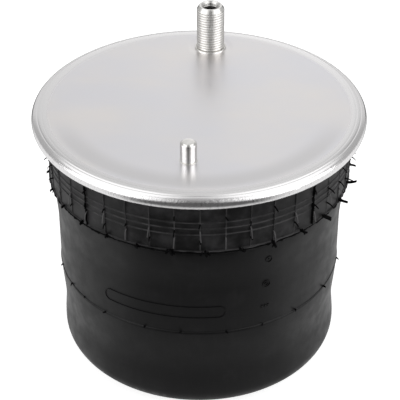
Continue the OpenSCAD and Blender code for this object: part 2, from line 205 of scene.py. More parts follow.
class Web:
    """A node tree with short calls for the nodes that it takes."""

    def __init__(self, tree):
        self.nodes = tree.nodes
        self.links = tree.links

    def feed(self, socket, value):
        """Links another socket to this one, or sets a number or a colour on it."""
        if isinstance(value, bpy.types.NodeSocket):
            self.links.new(value, socket)
        elif socket.type == "RGBA":
            socket.default_value = (*value, 1)
        else:
            socket.default_value = value

    def grow(self, kind, inputs, output=0, **traits):
        """Adds a node with these traits and inputs, and gives one of its outputs."""
        made = self.nodes.new("ShaderNode" + kind)
        for name, value in traits.items():
            setattr(made, name, value)
        for name, value in inputs.items():
            self.feed(made.inputs[name], value)
        return made.outputs[output]

    def math(self, way, *values):
        """One step of arithmetic between numbers and sockets."""
        return self.grow("Math", dict(enumerate(values)), operation=way)

    def times(self, product, *others):
        """The product of numbers and sockets, taken in their order."""
        for other in others:
            product = self.math("MULTIPLY", product, other)
        return product

    def step(self, value, low, high, to_low=0.0, to_high=1.0):
        """A soft step from one level to another as a value passes from low to high."""
        limits = {"From Min": low, "From Max": high, "To Min": to_low, "To Max": to_high}
        return self.grow("MapRange", {"Value": value, **limits}, "Result", interpolation_type="SMOOTHSTEP")

    def along(self, source, way):
        """How far a place or a direction lies along a direction."""
        return self.grow("VectorMath", {0: source, 1: way}, "Value", operation="DOT_PRODUCT")

    def rays(self, first, *others):
        """1 for these kinds of rays and 0 for the rest."""
        path = self.nodes.new("ShaderNodeLightPath").outputs
        found = path[first]
        for other in others:
            found = self.math("MAXIMUM", found, path[other])
        return found

    def ramp(self, value, levels):
        """Levels along a value from -1 to 1, drawn as a curve through (value, level) points."""
        made = self.nodes.new("ShaderNodeFloatCurve")
        curve = made.mapping.curves[0]
        curve.points[0].location, curve.points[1].location = (-1, levels[0][1]), levels[-1]
        made.mapping.clip_min_x, made.mapping.clip_max_y = -1, 2
        for place, level in levels[:-1]:
            curve.points.new(place, level)
        for point in curve.points:
            point.handle_type = "VECTOR"
        made.mapping.update()
        self.feed(made.inputs["Value"], value)
        return made.outputs[0]

    def end(self, kind, shader):
        """Leads a shader to the output node of this kind."""
        self.feed(self.nodes.new("ShaderNodeOutput" + kind).inputs["Surface"], shader)


class Finish(Web):
    """A material with short calls for the patterns that it is made of."""

    def __init__(self, name, base, metal, roughness, specular=0.5):
        self.material = bpy.data.materials.new(name)
        self.material.use_nodes = True
        super().__init__(self.material.node_tree)
        self.shader = self.nodes["Principled BSDF"].inputs
        for socket, value in (("Base Color", base), ("Metallic", metal), ("Roughness", roughness),
                              ("Specular IOR Level", specular)):
            self.feed(self.shader[socket], value)
        self.point = self.grow("TexCoord", {}, "Object")

    def mapped(self, stretch):
        """Places scaled along the three axes."""
        return self.grow("Mapping", {"Vector": self.point, "Scale": stretch})

    def cloud(self, scale, detail=3.0, rough=0.55, stretch=None):
        """Soft noise from 0 to 1, drawn out along the axes whose stretch is small."""
        where = self.mapped(stretch) if stretch else self.point
        return self.grow("TexNoise", {"Vector": where, "Scale": scale, "Detail": detail, "Roughness": rough})

    def part(self, axis):
        """One coordinate of a place, in metres."""
        return self.grow("SeparateXYZ", {0: self.point}, axis)

    def stored(self, name):
        """A value that the mesh keeps at its points."""
        return self.grow("Attribute", {}, "Fac", attribute_name=name)

    def radius(self, y=0.0):
        """Level distance from the upright line at (0, y)."""
        places = {0: self.mapped((1, 1, 0)), 1: (0, y, 0)}
        return self.grow("VectorMath", places, "Value", operation="DISTANCE")

    def blend(self, share_of, one, other):
        """A colour between two colours."""
        return self.grow("Mix", {"Factor": share_of, "A": one, "B": other}, "Result", data_type="RGBA")

    def paint(self, value):
        self.feed(self.shader["Base Color"], value)

    def gloss(self, value):
        self.feed(self.shader["Roughness"], value)

    def relief(self, height, depth, firmness):
        """Adds a bump of this depth in metres over the ones before it."""
        inputs = {"Strength": firmness, "Distance": depth, "Height": height}
        for before in self.shader["Normal"].links:
            inputs["Normal"] = before.from_socket
        self.feed(self.shader["Normal"], self.grow("Bump", inputs))


def mixed(a, b, t):
    """A plain colour between two plain colours."""
    return tuple(x + (y - x) * t for x, y in zip(a, b))


def plate_finish(settings):
    """Satin plated sheet: faint blotches and a fine grain, with streaks and dark flecks on the rolled rim."""
    steel = tuple(settings.steel)
    made = Finish("satin_plated_sheet", steel, 1.0, settings.roughness)
    out = made.radius()
    cool, warm = mixed(steel, (0.68, 0.68, 0.74), 0.38), mixed(steel, (0.79, 0.74, 0.7), 0.4)
    sheet = made.blend(made.step(made.cloud(13, 3, 0.5, (1, 1.6, 1)), 0.3, 0.75), cool, warm)
    # Painted shade: this band, held in worn, darkens the sheet just inside the shoulder on the front half,
    # where the reflection is dimmer.
    worn = made.times(made.step(out, SHOULDER_R - 23.5 * MM, SHOULDER_R - 9.5 * MM),
                      made.step(out, SHOULDER_R + 0.5 * MM, SHOULDER_R - 6.5 * MM),
                      made.step(made.along(made.point, TO_FRONT), 10 * MM, 70 * MM))
    sheet = made.blend(worn, sheet, mixed(steel, (0.55, 0.54, 0.55), 0.55))
    flecks = made.times(made.step(made.cloud(900, 3, 0.6, (1, 1, 0.35)), 0.55, 0.68),
                        made.step(out, RIM_R - 1.8 * MM, RIM_R - 0.8 * MM))
    polished, fleck = mixed(steel, (0.85, 0.84, 0.83), 0.2), mixed(steel, (0.3, 0.29, 0.29), 0.35)
    rim = made.step(out, SHOULDER_R - 0.7 * MM, SHOULDER_R + 1.7 * MM)
    made.paint(made.blend(rim, sheet, made.blend(flecks, polished, fleck)))
    satin = made.step(made.cloud(24), 0.3, 0.7, settings.roughness - 0.02, settings.roughness + 0.03)
    made.gloss(made.math("ADD", satin, made.step(rim, 0, 1, 0, -0.15)))
    made.relief(made.cloud(1900, 2), 0.006 * MM, 0.25)
    roll = made.step(out, RIM_R - 2.8 * MM, RIM_R - 1.2 * MM)
    made.relief(made.times(made.cloud(430, 4, 0.65, (1, 1, 0.5)), roll), 0.18 * MM, 0.7)
    made.relief(made.times(made.cloud(1000, 3, 0.7), roll), 0.12 * MM, 0.7)
    return made.material


def turned_finish(settings, name, rougher, bore=None):
    """Turned and plated steel with fine rings left by the tool, and a painted shade deep in the bore where
    one is given.
    """
    steel, level = tuple(settings.steel), settings.roughness + rougher
    made = Finish(name, steel, 1.0, level)
    skin = made.blend(made.step(made.cloud(300), 0.35, 0.7), mixed(steel, (0.5, 0.48, 0.45), 0.2), steel)
    rough = made.step(made.cloud(420), 0.3, 0.7, level - 0.03, level + 0.08)
    if bore:
        y, radius, top = bore
        height = made.part("Z")
        # Painted shade: the bore is darkened from a few millimetres below its mouth downwards.
        bore_shade = made.times(made.step(made.radius(y), radius, radius + 0.4 * MM, 1, 0),
                          made.step(height, top - 5 * MM, top - 3.2 * MM, 1, 0))
        # Painted shade: the thread's roots are darkened, as if shaded.
        skin = made.blend(made.times(made.stored("root"), 0.75), skin, (0.42, 0.41, 0.39))
        skin = made.blend(bore_shade, skin, (0.05, 0.047, 0.045))
        rough = made.math("ADD", rough, made.step(height, top - 3.6 * MM, top - 2.8 * MM, 0, -0.12))
    made.paint(skin)
    made.gloss(rough)
    made.relief(made.cloud(900, 2, 0.55, (0.15, 0.15, 6)), 0.01 * MM, 0.5)
    return made.material


def weld_finish():
    """Plated weld, a little darker and rippled."""
    made = Finish("plated_weld", (0.5, 0.49, 0.47), 1.0, 0.34)
    made.paint(made.blend(made.cloud(700), (0.38, 0.36, 0.34), (0.62, 0.61, 0.6)))
    made.gloss(made.step(made.cloud(500), 0.3, 0.7, 0.26, 0.46))
    made.relief(made.cloud(1100), 0.06 * MM, 0.6)
    return made.material


def rubber_finish(settings, name, cuff=False):
    """Black moulded rubber with pale bloom, drag marks on the flanks, crests painted pale as wear and as a
    painted highlight, and a fine grain.
    """
    rubber, dust, level = tuple(settings.rubber), tuple(settings.dust), settings.roughness
    made = Finish(name, rubber, 0.0, level, 0.2)
    height, aside = made.part("Z"), made.along(made.point, TO_RIGHT)
    clear, pale = (0.42, 0.8) if cuff else (0.5, 0.12)
    patches = made.times(made.step(made.cloud(48, 5, 0.62), clear, 0.72), pale)
    flank = made.times(made.step(height, 78 * MM, 30 * MM), made.step(height, 6 * MM, 20 * MM),
                       made.step(made.math("ABSOLUTE", aside), 62 * MM, 100 * MM))
    drags = made.times(made.step(made.cloud(70, 4, 0.6, (5, 5, 0.7)), 0.5, 0.72),
                       made.math("MAXIMUM", flank, 0.12), 0.45)
    bloom = made.math("ADD", patches, drags)
    # The crests that the mesh notes are painted pale: partly wear rubbed bare, partly a painted highlight
    # where they would catch the light.
    crest = made.times(made.stored("crest"), made.step(made.cloud(64, 4, 0.6), 0.43, 0.58, 0.06, 1))
    if not cuff:
        stray = made.times(made.step(made.cloud(34, 2, 0.5, (9, 9, 1)), 0.5, 0.6),
                           made.step(height, 10.5 * MM, 13 * MM), made.step(height, 20.5 * MM, 16.5 * MM),
                           made.step(aside, -56 * MM, -48 * MM), made.step(aside, -18 * MM, -26 * MM),
                           made.step(made.along(made.point, TO_FRONT), 0, 10 * MM), 0.6)
        crest = made.math("MAXIMUM", crest, stray)
    made.paint(made.blend(crest, made.blend(bloom, rubber, dust), tuple(settings.worn)))
    made.gloss(made.math("ADD", made.step(made.cloud(90, 4), 0.3, 0.7, level - 0.05, level + 0.06),
                         made.times(bloom, 0.14)))
    made.relief(made.cloud(1500), 0.035 * MM, 0.35)
    made.relief(made.cloud(75, 3, 0.5, (1, 1, 0.25)), 0.5 * MM if cuff else 0.2 * MM, 0.5)
    return made.material


def torn_rubber(name):
    """Flash and whiskers torn out of the mould: dull black, hardly any shine; under the cuff's lip the black
    also serves as painted shadow.
    """
    made = Finish(name, (0.0022, 0.0022, 0.0024), 0.0, 0.8, 0.06)
    spots = made.step(made.cloud(260), 0.5, 0.75)
    made.paint(made.blend(spots, (0.0018, 0.0018, 0.002), (0.008, 0.0078, 0.008)))
    made.gloss(made.step(made.cloud(300), 0.3, 0.7, 0.7, 0.9))
    made.relief(made.cloud(1300), 0.05 * MM, 0.5)
    return made.material


def plain_rubber(name, base, roughness):
    """Smooth rubber of the inner parts."""
    made = Finish(name, base, 0.0, roughness, 0.35)
    pale = mixed(base, (0.09, 0.09, 0.09), 0.25)
    made.paint(made.blend(made.step(made.cloud(120, 4), 0.35, 0.7), base, pale))
    made.gloss(made.step(made.cloud(200), 0.3, 0.7, roughness - 0.06, roughness + 0.06))
    made.relief(made.cloud(1400), 0.03 * MM, 0.4)
    return made.material


def plastic_finish(settings):
    """Glass filled moulding: spark grained skin, faint flow marks."""
    plastic = tuple(settings.plastic)
    made = Finish("glass_filled_plastic", plastic, 0.0, 0.42, 0.45)
    flow = made.step(made.cloud(14, 5, 0.65, (1, 1, 0.4)), 0.35, 0.7)
    fibres = made.step(made.cloud(1900, 2, 0.7, (1, 1, 0.3)), 0.62, 0.75)
    pale = made.math("ADD", made.times(flow, 0.4), made.times(fibres, 0.3))
    made.paint(made.blend(pale, plastic, mixed(plastic, (0.2, 0.2, 0.2), 0.2)))
    made.gloss(made.step(flow, 0, 1, 0.36, 0.5))
    made.relief(made.grow("TexVoronoi", {"Vector": made.point, "Scale": 1500}, "Distance"), 0.03 * MM, 0.5)
    return made.material


def metal_finish(name, base, roughness, darker):
    """Bare or plated metal of the hardware, with blotches and a fine grain."""
    made = Finish(name, base, 1.0, roughness)
    made.paint(made.blend(made.step(made.cloud(90, 4), 0.3, 0.7), darker, base))
    made.gloss(made.step(made.cloud(150, 4), 0.3, 0.7, roughness - 0.06, roughness + 0.1))
    made.relief(made.cloud(700), 0.02 * MM, 0.5)
    return made.material


# Shapes

def arc(x, z, radius, first, last, steps):
    """Points of an arc about (x, z), with its angles in degrees."""
    turns = [math.radians(first + (last - first) * i / steps) for i in range(steps + 1)]
    return [(x + radius * math.cos(t), z + radius * math.sin(t)) for t in turns]


def points(r, z, *moves):
    """Points of a line, each given by how many millimetres it lies out from a radius and up from a height."""
    return [(r + out * MM, z + up * MM) for out, up in moves]


def steps_between(first, last, count):
    """Even steps from the first number to the last."""
    return [first + (last - first) * i / count for i in range(count + 1)]


def upright(r, first, last, count):
    """Points up or down a wall of one radius."""
    return [(r, z) for z in steps_between(first, last, count)]


def spun(line, columns, y=0.0, closed=True):
    """Spins a line of (radius, height) points a full turn about the upright line at (0, y)."""
    bm = bmesh.new()
    dots = [bm.verts.new((r, 0, z)) for r, z in line]
    pairs = list(zip(dots, dots[1:])) + ([(dots[-1], dots[0])] if closed else [])
    edges = [bm.edges.new(pair) for pair in pairs]
    bmesh.ops.spin(bm, geom=dots + edges, cent=(0, 0, 0), axis=(0, 0, 1), angle=math.tau,
                   steps=columns, use_merge=True)
    bmesh.ops.remove_doubles(bm, verts=bm.verts, dist=1e-7)
    bmesh.ops.translate(bm, verts=bm.verts, vec=(0, y, 0))
    bmesh.ops.recalc_face_normals(bm, faces=bm.faces)
    return bm


def turned(bm, angle):
    """Turns a bmesh about the spring's axis."""
    bmesh.ops.rotate(bm, verts=bm.verts, cent=(0, 0, 0), matrix=Matrix.Rotation(angle, 3, "Z"))


def add(whole, bm):
    """Adds one bmesh to another."""
    mesh = bpy.data.meshes.new("part")
    bm.to_mesh(mesh)
    bm.free()
    whole.from_mesh(mesh)
    bpy.data.meshes.remove(mesh)


def polar(v):
    """How far out a vertex lies from the axis, and its turn about it."""
    return math.hypot(v.co.x, v.co.y), math.atan2(v.co.y, v.co.x)


def widen(v, factor):
    """Moves a vertex level, straight out from the axis or in."""
    v.co.x *= factor
    v.co.y *= factor


def grain(x, y, z):
    """Smooth noise at a place, about 0."""
    return noise.noise(Vector((x, y, z)))


def within(value):
    """The value itself between 0 and 1, and no less or more."""
    return min(1.0, max(0.0, value))


def thread(height, turn, pitch, root=0.14, crest=0.84):
    """Share of a thread's depth at this height and turn: 1 on the crest and 0 in the root."""
    place = (height / pitch - turn / math.tau) % 1.0
    slope = abs(2 * place - 1)
    return within((slope - root) / (crest - root))


def bump(distance, width):
    """Smooth bump that is 1 at distance 0 and 0 from width on."""
    t = min(1.0, abs(distance) / width)
    return (1 - t * t) ** 2


def shade(mesh, material, sharp):
    """Gives a mesh its one material and smooth shading up to a sharp angle in degrees."""
    mesh.materials.clear()
    mesh.materials.append(material)
    mesh.shade_smooth()
    mesh.set_sharp_from_angle(angle=math.radians(sharp))


def piece(bm, name, material, sharp):
    """Turns a finished bmesh into a smooth shaded object at the origin."""
    mesh = bpy.data.meshes.new(name)
    bm.to_mesh(mesh)
    bm.free()
    shade(mesh, material, sharp)
    made = bpy.data.objects.new(name, mesh)
    bpy.context.scene.collection.objects.link(made)
    return made


def joined(whole, name, material, sharp=60):
    """Turns a bmesh of several closed shapes into an object, with all of its faces outwards."""
    bmesh.ops.recalc_face_normals(whole, faces=whole.faces)
    return piece(whole, name, material, sharp)


def dress(made, body, slot, *nodes):
    """Gives a piece its body and hides the CAD nodes that it stands for; the slot is not used."""
    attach(made, body)
    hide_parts(*nodes)


def rounded_copy(node, name, material, edge):
    """Copies a CAD node's mesh, merges it and rounds its edges."""
    bm = bmesh.new()
    bm.from_mesh(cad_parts[node].data)
    bmesh.ops.remove_doubles(bm, verts=bm.verts, dist=1e-6)
    bmesh.ops.dissolve_limit(bm, angle_limit=math.radians(0.4), verts=bm.verts, edges=bm.edges)
    made = piece(bm, name, material, 30)
    rounding = made.modifiers.new("edges", "BEVEL")
    rounding.width = edge
    rounding.segments = 2
    rounding.limit_method = "ANGLE"
    rounding.angle_limit = math.radians(32)
    rounding.use_clamp_overlap = True
    rounding.harden_normals = True
    return made


class AIRSPRING_OT_stage(bpy.types.Operator):
    """Makes the floor, the even light, the softboxes and the camera"""
    bl_idname = "airspring.stage"
    bl_label = "Stage"

    def execute(self, context):
        settings = context.scene.air_spring_studio
        self.floor(settings)
        self.world(settings)
        self.boxes(settings)
        self.camera()
        return {"FINISHED"}

    def floor(self, settings):
        """A white floor, clear from below, that metal mirrors as dim further out before the spring."""
        bm = bmesh.new()
        bmesh.ops.create_grid(bm, x_segments=2, y_segments=2, size=9)
        material = bpy.data.materials.new("pale_floor")
        material.use_nodes = True
        web = Web(material.node_tree)
        web.nodes.clear()
        place = web.grow("TexCoord", {}, "Object")
        way = web.grow("VectorMath", {0: place}, "Vector", operation="NORMALIZE")
        reach = web.grow("VectorMath", {0: place}, "Value", operation="LENGTH")
        sides = web.step(web.math("ABSOLUTE", web.along(way, TO_RIGHT)), 0.45, 0.9)
        near, far = 170 * MM, 330 * MM
        before = web.step(reach, near, far, settings.near_floor, settings.far_floor)
        mirrored = web.grow("Emission", {"Strength": web.math("MAXIMUM", before, sides)})
        paint = web.grow("BsdfDiffuse", {"Color": settings.floor})
        glow = web.grow("Emission", {"Strength": web.times(web.rays("Is Camera Ray"), settings.glow)})
        lit = web.grow("AddShader", {0: paint, 1: glow})
        from_metal = web.rays("Is Glossy Ray", "Is Transmission Ray")
        both = web.grow("MixShader", {0: from_metal, 1: lit, 2: mirrored})
        below = web.grow("NewGeometry", {}, "Backfacing")
        web.end("Material", web.grow("MixShader", {0: below, 1: both, 2: web.grow("BsdfTransparent", {})}))
        floor = piece(bm, "studio_floor", material, 35)

    def world(self, settings):
        """White all round. Metal mirrors a room whose ceiling is lit to both sides, dimmer right over the
        spring and dark behind the camera, with unlit walls to the left and right behind the spring."""
        world = bpy.data.worlds.new("studio_light")
        bpy.context.scene.world = world
        world.use_nodes = True
        web = Web(world.node_tree)
        web.nodes.clear()
        way = web.grow("TexCoord", {}, "Generated")
        ahead, right, high = web.along(way, TO_FRONT), web.along(way, TO_RIGHT), web.along(way, (0, 0, 1))
        aside = web.math("ABSOLUTE", right)
        # Levels of the middle strip, from the wall behind the spring over the ceiling to behind the camera
        levels = ((-0.95, 1.4), (-0.9, 1.24), (-0.86, 1.13), (-0.82, 1.0), (-0.77, 0.88), (-0.69, 0.99),
                  (-0.545, 0.78), (-0.43, 0.66), (0.08, settings.ceiling), (0.56, settings.ceiling * 0.66),
                  (0.82, settings.ceiling * 0.43), (0.95, settings.dark + 0.03), (1.0, settings.dark))
        middle = web.times(web.ramp(ahead, levels), web.step(right, -0.12, 0.12, 0.93, 1.06))
        # Half the strip's width from the floor's height up to right overhead
        widths = ((0.0, 0.42), (0.15, 0.36), (0.4, 0.17), (0.56, 0.15), (0.85, 0.2), (1.0, 0.17))
        front = web.times(web.ramp(high, widths), web.step(ahead, -0.35, 0.1))
        width = web.math("MAXIMUM", front, web.step(ahead, -0.76, -0.67, 0.13, 0))
        gap = web.step(web.math("SUBTRACT", aside, width), 0, 0.12, 1, 0)
        wing = web.times(web.step(aside, 0.11, 0.2), web.step(ahead, -0.02, -0.2),
                         web.step(ahead, -0.84, -0.74), web.step(high, 0.74, 0.66), 1 - settings.wing)
        sides = web.times(web.step(high, 0.64, 0.75, 1, settings.canopy), web.math("SUBTRACT", 1, wing))
        room = web.math("ADD", web.times(middle, gap), web.times(sides, web.math("SUBTRACT", 1, gap)))
        shown = web.math("MAXIMUM", room, web.rays("Is Camera Ray"))
        seen = web.rays("Is Camera Ray", "Is Glossy Ray", "Is Transmission Ray")
        even = web.grow("Background", {"Strength": settings.fill})
        drawn = web.grow("Background", {"Strength": shown})
        web.end("World", web.grow("MixShader", {0: seen, 1: even, 2: drawn}))

    def place(self, name, data, turn, rise, reach, aim):
        """Puts a lamp or a camera at a turn, a rise and a reach from the point that it looks at."""
        made = bpy.data.objects.new(name, data)
        bpy.context.scene.collection.objects.link(made)
        out = Vector((math.cos(turn) * math.cos(rise), math.sin(turn) * math.cos(rise), math.sin(rise)))
        made.location = aim + out * reach
        made.rotation_euler = out.to_track_quat("Z", "Y").to_euler()
        return made

    def boxes(self, settings):
        """A softbox at each side of the camera, a little stronger to the right."""
        wide, high, reach, rise, aim = 1.3, 1.1, 1.4, math.radians(22), Vector((0, 0, 0.1))
        for name, turn, power in (("left_softbox", -62, 0.95), ("right_softbox", 62, 1.15)):
            lamp = bpy.data.lights.new(name, "AREA")
            lamp.shape = "RECTANGLE"
            lamp.size, lamp.size_y, lamp.energy = wide, high, settings.side * power
            self.place(name, lamp, FRONT + math.radians(turn), rise, reach, aim)

    def camera(self):
        scene = bpy.context.scene
        data = bpy.data.cameras.new("camera")
        data.lens, data.sensor_width, data.clip_start = 126.0, 36.0, 0.05
        aim = Vector(TO_RIGHT) * CAMERA_ASIDE + Vector((0, 0, CAMERA_AIM))
        scene.camera = self.place("camera", data, FRONT, CAMERA_RISE, CAMERA_REACH, aim)
        scene.view_settings.view_transform = "Standard"


class AIRSPRING_OT_plate(bpy.types.Operator):
    """Makes the bead plate with its shoulder, creases, rolled rim and the dish round the stud"""
    bl_idname = "airspring.plate"
    bl_label = "Bead plate"

    def execute(self, context):
        settings = context.scene.air_spring_plate
        crease = settings.crease / MM
        line = points(0, PLATE_TOP, (0, 0), (14, 0), (28, 0), (42, 0), (54, 0))
        line += [(r, PLATE_TOP) for r in steps_between(62 * MM, 112 * MM, 40)]
        line += points(SHOULDER_R, PLATE_TOP, (0, 0), (1.5, -0.005), (3.0, -0.02), (4.2, -0.05),
                       (4.45, -0.06 - crease * 0.2), (4.7, -0.075 - crease * 0.2), (5.0, -0.085),
                       (5.8, -0.145), (6.7, -0.245), (7.5, -0.36), (7.75, -0.4 - crease),
                       (8.05, -0.445 - crease), (8.35, -0.5), (8.7, -0.56))
        line += arc(CORNER_X, RIM_Z, CORNER_R, 76, 0, 12)
        line += arc(ROLL_X, RIM_Z, ROLL_R, -6, -90, 13)
        line += points(LIP_END_R, ROLL_LOW_Z, (0.5, 0), (0, 0.5))
        line += points(LIP_END_R, ROLL_LOW_Z + SHEET, (0, -0.4), (0.4, 0))
        line += arc(ROLL_X, RIM_Z, ROLL_R - SHEET, -90, 0, 6)
        line += arc(CORNER_X, RIM_Z, CORNER_R - SHEET, 30, 90, 3)
        line += [(r, PLATE_UNDER) for r in (SHOULDER_R, 90 * MM, 45 * MM, 0)]
        bm = spun(line, 540, closed=False)
        for v in bm.verts:
            self.dish(v, settings)
            if math.hypot(v.co.x, v.co.y) > RIM_R - 3.4 * MM:
                self.ripple(v, settings)
        made = piece(bm, "rolled_bead_plate", plate_finish(settings), 50)
        dress(made, PLATE_BODY, "plate_steel", "bead_plate")
        return {"FINISHED"}

    def dish(self, v, settings):
        """Sinks the sheet a little round the stud."""
        slope = 3 * MM
        near = math.hypot(v.co.x, v.co.y - STUD_Y)
        if near < settings.dish_radius + slope and math.hypot(v.co.x, v.co.y) < SHOULDER_R:
            v.co.z -= settings.dish * (1 - within((near - settings.dish_radius + slope) / slope))

    def ripple(self, v, settings):
        """Ripples the rolled rim, and dents it once to the right of the front."""
        reach, turn = polar(v)
        coarse = grain(v.co.x * 90, v.co.y * 90, v.co.z * 160)
        fine = grain(v.co.x * 330, v.co.y * 330, v.co.z * 260)
        dent = FRONT + math.radians(33)
        aside = abs((turn - dent + math.pi) % math.tau - math.pi) * reach
        move = settings.ripple * (0.6 * coarse + 0.8 * fine)
        move -= 0.5 * MM * bump(aside, 2.6 * MM) * bump(v.co.z - RIM_Z - 1.5 * MM, 2 * MM)
        v.co += Vector((math.cos(turn), math.sin(turn), 0)) * min(move, RIM_R - reach + 0.02 * MM)


class AIRSPRING_OT_stud(bpy.types.Operator):
    """Makes the combination stud with its outer and inner threads, its flange and its two weld rings"""
    bl_idname = "airspring.stud"
    bl_label = "Combination stud"

    def execute(self, context):
        settings = context.scene.air_spring_stud
        radius, port, passage, mouth, flange = 11 * MM, 6.2 * MM, 4 * MM, 7.7 * MM, STUD_HIGH.x
        neck = radius - 0.6 * MM
        top, low = STUD_HIGH.z, STUD_LOW.z
        threaded_top, port_low = top - 3 * MM, top - 16 * MM
        line = points(passage, low, (0, 0.3), (0.3, 0)) + points(flange, low, (-0.3, 0), (0, 0.3))
        line += points(flange, PLATE_UNDER, (0, -0.2), (-0.2, 0))
        line += [(neck, PLATE_UNDER), (neck, PLATE_TOP + 0.85 * MM)]
        line += upright(radius, PLATE_TOP + 1.2 * MM, threaded_top, 156)
        line += [(radius - 2 * MM * t, threaded_top + 3 * MM * t) for t in steps_between(0.06, 0.94, 14)]
        line += points(radius, top, (-2.15, -0.03), (-2.4, 0)) + points(mouth, top, (0.15, 0), (-0.05, -0.1))
        line += points(port, top, (0.1, -1.45)) + upright(port, top - 1.6 * MM, port_low, 100)
        line += points(passage, port_low, (0.2, 0), (0, -0.3))
        bm = spun(line, 96)
        root = bm.verts.layers.float.new("root")
        for v in bm.verts:
            reach, turn = polar(v)
            up = v.co.z - PLATE_TOP
            if reach > radius - 2.1 * MM and up > 1.3 * MM:
                runout = min(1.0, (up - 1.3 * MM) / (1.6 * MM))
                cut = runout * (1 - thread(up, turn, settings.pitch, 0.12, 0.6))
                v[root] = cut if v.co.z < threaded_top else 0.0
                widen(v, min(1.0, (radius - settings.depth * cut) / reach))
            elif abs(reach - port) < 0.05 * MM and port_low + 2 * MM < v.co.z < top - 1.6 * MM:
                deeper = port + settings.port_depth * (1 - thread(v.co.z, turn, settings.port_pitch))
                widen(v, deeper / reach)
        bmesh.ops.translate(bm, verts=bm.verts, vec=(0, STUD_Y, 0))
        steel = turned_finish(settings, "turned_steel", 0.2, (STUD_Y, port + settings.port_depth, top))
        dress(piece(bm, "threaded_air_stud", steel, 62), PLATE_BODY, "stud_steel", "combination_stud")
        self.lip(settings, radius, neck)
        self.fillet(flange)
        return {"FINISHED"}

    def lip(self, settings, radius, neck):
        """The lip of weld round the stud's foot."""
        line = points(neck, PLATE_TOP, (-0.2, -0.3))
        line += points(radius, PLATE_TOP, (1.75, -0.3), (1.75, 0.02), (1.68, 0.28), (1.5, 0.52), (1.2, 0.7),
                       (0.85, 0.76), (0.5, 0.7), (0.25, 0.5), (0.1, 0.2))
        line += points(neck, PLATE_TOP, (-0.2, 0.15))
        steel = turned_finish(settings, "weld_lip_steel", 0.08)
        dress(piece(spun(line, 96, STUD_Y), "stud_lip", steel, 60), PLATE_BODY, "weld", "stud_lip_weld")

    def fillet(self, flange):
        """The rippled fillet round the flange under the plate."""
        line = points(flange, PLATE_UNDER, (-0.4, 0.3), (2.1, 0.3), (2.1, -0.1), (1.4, -0.7), (0.8, -1.3),
                      (0.3, -2.1), (-0.4, -2.5))
        bm = spun(line, 120, STUD_Y)
        for v in bm.verts:
            turn = math.atan2(v.co.y - STUD_Y, v.co.x)
            if v.co.z < PLATE_UNDER - 0.05 * MM:
                v.co.z += 0.18 * MM * math.sin(turn * 34) * grain(turn * 2, 0, 0)
        dress(piece(bm, "stud_flange_fillet", weld_finish(), 60), PLATE_BODY, "weld", "stud_flange_weld")


class AIRSPRING_OT_pin(bpy.types.Operator):
    """Makes the locating pin, its head under the plate and the lip round its foot"""
    bl_idname = "airspring.pin"
    bl_label = "Locating pin"

    def execute(self, context):
        settings = context.scene.air_spring_stud
        radius, head = 6 * MM, 9 * MM
        neck = radius - 0.6 * MM
        top, low = PIN_HIGH.z, PIN_LOW.z
        line = [(0, low)] + points(head, low, (-0.3, 0), (0, 0.3))
        line += [(head, PLATE_UNDER), (neck, PLATE_UNDER)]
        line += points(neck, PLATE_TOP, (0, 0.7)) + points(radius, PLATE_TOP, (0, 1))
        line += points(radius, top, (0, -4), (0, -1.4), (-0.04, -1.22), (-0.16, -1.06), (-1.3, -0.18),
                       (-1.5, -0.05), (-1.75, 0))
        line += [(radius * 0.4, top), (0, top)]
        bm = spun(line, 96, PIN_Y, closed=False)
        steel = turned_finish(settings, "pin_steel", -0.03)
        dress(piece(bm, "turned_locating_pin", steel, 50), PLATE_BODY, "stud_steel", "locating_pin")
        lip = points(neck, PLATE_TOP, (-0.2, -0.3))
        lip += points(radius, PLATE_TOP, (0.6, -0.3), (0.6, 0.06), (0.45, 0.2), (0.1, 0.3))
        lip += points(neck, PLATE_TOP, (-0.2, 0.34))
        steel = turned_finish(settings, "pin_lip_steel", 0.16)
        dress(piece(spun(lip, 72, PIN_Y), "pin_lip", steel, 60), PLATE_BODY, "weld", "pin_weld")
        return {"FINISHED"}


def cuff_radius(z):
    """Radius of the cuff's outside, which tapers from the rim down to its lip."""
    return CUFF_LOW_R + (CUFF_R - CUFF_LOW_R) * (z - CUFF_Z) / (ROLL_LOW_Z - CUFF_Z)


def follow_plate(made):
    """Lets a piece of the cuff rise with the plate."""
    dress(made, PLATE_BODY, "sleeve_rubber", "bellows")


